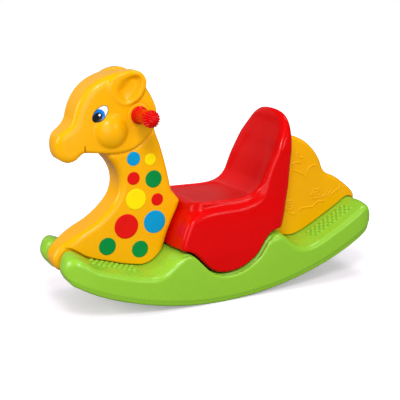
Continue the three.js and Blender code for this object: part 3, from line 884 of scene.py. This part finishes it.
def make_grip(name, side):
    """A grip turned along X: flange, plain neck, and a ribbed knob whose ribs run over its end."""
    stem = [
        (6, 4), (15.4, 4), (15.4, FLANGE_X - 4), (15.4, FLANGE_X), (18.8, FLANGE_X),
        (19.5, FLANGE_X + 0.8), (19.5, FLANGE_X + 2.6), (18.9, FLANGE_X + 3.8),
        (17.8, FLANGE_X + 4.6), (16.6, FLANGE_X + 5.4), (15.8, FLANGE_X + 6.8),
        (15.2, FLANGE_X + 9.4), (14.8, FLANGE_X + 14), (14.5, FLANGE_X + 22),
        (14.6, FLANGE_X + 30), (14.9, 86), (15.5, 91), (16.2, 95),
    ]
    knob = [
        (17.0, 98), (17.8, 101), (18.5, 104), (18.9, 107), (19.0, 110), (18.8, 113), (18.3, 115.6),
        (17.4, 118), (16.0, 120.3), (14.2, 122.3), (11.9, 124), (9.3, 125.3), (6.7, 126.2),
        (4.2, 126.8), (1.6, 127),
    ]
    profile = along(stem, 1.2) + along([stem[-1]] + knob, 0.8)[1:]
    ribs, around = 18, 216
    turn = 2 * math.pi * np.arange(around) / around
    wave = 1 - np.abs(np.cos(ribs * turn / 2)) ** 1.3
    points = []
    for r, h in profile:
        depth = 3.4 * ease(90, 104, h) * min(1.0, r / 13)
        points.append(np.stack([np.full(around, h), (r - depth * wave) * np.cos(turn),
                                (r - depth * wave) * np.sin(turn)], axis=1))
    n = len(points)
    points = np.concatenate(points + [[(profile[0][1], 0, 0), (profile[-1][1] + 0.1, 0, 0)]])
    faces = []
    for j in range(around):
        k = (j + 1) % around
        for i in range(n - 1):
            a, b = i * around, (i + 1) * around
            faces.append((a + j, a + k, b + k, b + j))
        faces.append((n * around, k, j))
        last = (n - 1) * around
        faces.append((n * around + 1, last + j, last + k))
    if side < 0:
        points = points * (-1, 1, 1)
        faces = [tuple(reversed(f)) for f in faces]
    points = points + (0, *HANDLE)
    piece(name, points, faces, GRIP_RED, "red_plastic", name)


def along(points, spacing):
    """Points along an open run of straight legs, evenly divided."""
    out = [points[0]]
    for (a, b), (c, d) in zip(points, points[1:]):
        n = max(1, int(math.hypot(c - a, d - b) / spacing))
        out += [(a + (c - a) * i / n, b + (d - b) * i / n) for i in range(1, n + 1)]
    return out


# ---------------------------------------------------------------- the studio

# Softboxes: place, aim, size and power. The rear one is low behind the toy, for the sheen on
# everything seen at a slant.
SOFTBOXES = {
    "key_softbox": ((1.5, -0.75, 1.8), (0, -0.05, 0.2), (0.6, 0.6), 22),
    "top_softbox": ((0.15, 0.6, 2.2), (0, 0, 0.2), (0.7, 0.7), 11.5),
    "front_softbox": ((-0.45, -2.1, 1.0), (0, -0.1, 0.25), (1.0, 1.0), 22),
    "camera_softbox": ((2.1, -0.9, 0.8), (0, 0, 0.25), (1.5, 1.5), 21),
    "rear_softbox": ((-2.0, 0.1, 0.95), (0, 0, 0.25), (2.4, 1.2), 2.6),
    "side_softbox": ((1.9, 0.9, 1.1), (0, 0, 0.2), (0.4, 0.7), 7),
}
CAMERA = {
    "target": (0, -0.029, 0.211), "azimuth": 62.9, "elevation": 14.5, "distance": 1.928,
    "lens": 75, "sensor": 36,
}
FLOOR_RADIUS = 30.0


def facing(name, data, place, direction):
    """Adds a lamp or a camera that looks along a direction."""
    obj = bpy.data.objects.new(name, data)
    obj.location = place
    obj.rotation_euler = direction.to_track_quat("-Z", "Y").to_euler()
    bpy.context.scene.collection.objects.link(obj)
    return obj


def make_floor():
    mesh = bpy.data.meshes.new("studio_floor")
    turns = [2 * math.pi * i / 64 for i in range(64)]
    rim = [(FLOOR_RADIUS * math.cos(turn), FLOOR_RADIUS * math.sin(turn), 0) for turn in turns]
    mesh.from_pydata(rim, [], [tuple(range(len(rim)))])
    floor = bpy.data.objects.new("studio_floor", mesh)
    mat, tree, shader = material("pale_floor", roughness=0.75, Specular_IOR_Level=0.2)
    place = node(tree, "ShaderNodeTexCoord").outputs["Object"]
    # a little less green than white, against the tint that the base throws on it
    tone = mix(tree, noise(tree, place, 3, 2), (0.91, 0.84, 0.93, 1), (0.93, 0.86, 0.95, 1))
    # the floor glows, which is painted light: a faint glow beside the toy lifts its cast shadows, and
    # it grows far out so that the floor runs into the white background. The whole floor also throws
    # little light back on the toy, so that the colours stay deep
    away = node(tree, "ShaderNodeVectorMath", {0: place}, operation="LENGTH").outputs["Value"]
    seen = node(tree, "ShaderNodeLightPath").outputs["Is Camera Ray"]
    tone = mix(tree, seen, (0.2, 0.2, 0.2, 1), tone)
    # painted light: emission that lightens the toy's shadows near it and whitens the far floor
    glow = spread(tree, away, 0.38, 1.2, 0.26, 0.9)
    glow = maths(tree, "MULTIPLY", glow, spread(tree, seen, 0, 1, 0.08, 1))
    link(tree, tone, shader, "Base Color")
    shader.inputs["Emission Color"].default_value = (1, 1, 1, 1)
    link(tree, glow, shader, "Emission Strength")
    mesh.materials.append(mat)
    bpy.context.scene.collection.objects.link(floor)


def make_world():
    """White behind the toy, softer as light, and dim in its gloss so that the colours stay deep."""
    world = bpy.data.worlds.new("studio_world")
    bpy.context.scene.world = world
    world.use_nodes = True
    tree = world.node_tree
    rays = node(tree, "ShaderNodeLightPath").outputs
    lit = spread(tree, rays["Is Glossy Ray"], 0, 1, 0.36, 0.08)
    seen = spread(tree, rays["Is Camera Ray"], 0, 1, 0, 1)
    background = tree.nodes["Background"]
    link(tree, maths(tree, "MAXIMUM", lit, seen), background, "Strength")
    background.inputs["Color"].default_value = (1, 1, 1, 1)


def make_lamps():
    for name, (place, aim, size, power) in SOFTBOXES.items():
        data = bpy.data.lights.new(name, "AREA")
        data.shape = "RECTANGLE"
        data.size, data.size_y = size
        data.energy = power
        facing(name, data, place, Vector(aim) - Vector(place))


def make_camera():
    azimuth, elevation = (math.radians(CAMERA[angle]) for angle in ("azimuth", "elevation"))
    back = Vector((
        math.sin(azimuth) * math.cos(elevation),
        -math.cos(azimuth) * math.cos(elevation),
        math.sin(elevation),
    ))
    data = bpy.data.cameras.new("camera")
    data.lens, data.sensor_width = CAMERA["lens"], CAMERA["sensor"]
    place = Vector(CAMERA["target"]) + back * CAMERA["distance"]
    bpy.context.scene.camera = facing("camera", data, place, -back)


def make_studio():
    view = bpy.context.scene.view_settings
    view.view_transform = "Standard"
    view.look = "None"
    make_floor()
    make_world()
    make_lamps()
    make_camera()


def finish_steel():
    """Puts the plated steel on the screws, washers and tube that come from the CAD."""
    for name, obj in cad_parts.items():
        if "screw" in name or "washer" in name or "spindle" in name:
            obj.data.materials.clear()
            obj.data.materials.append(STEEL)


make_studio()
make_base()
make_studs()
make_giraffe()
make_stickers()
make_seat()
make_tail()
make_grip("handle_grip_left", 1)
make_grip("handle_grip_right", -1)
finish_steel()
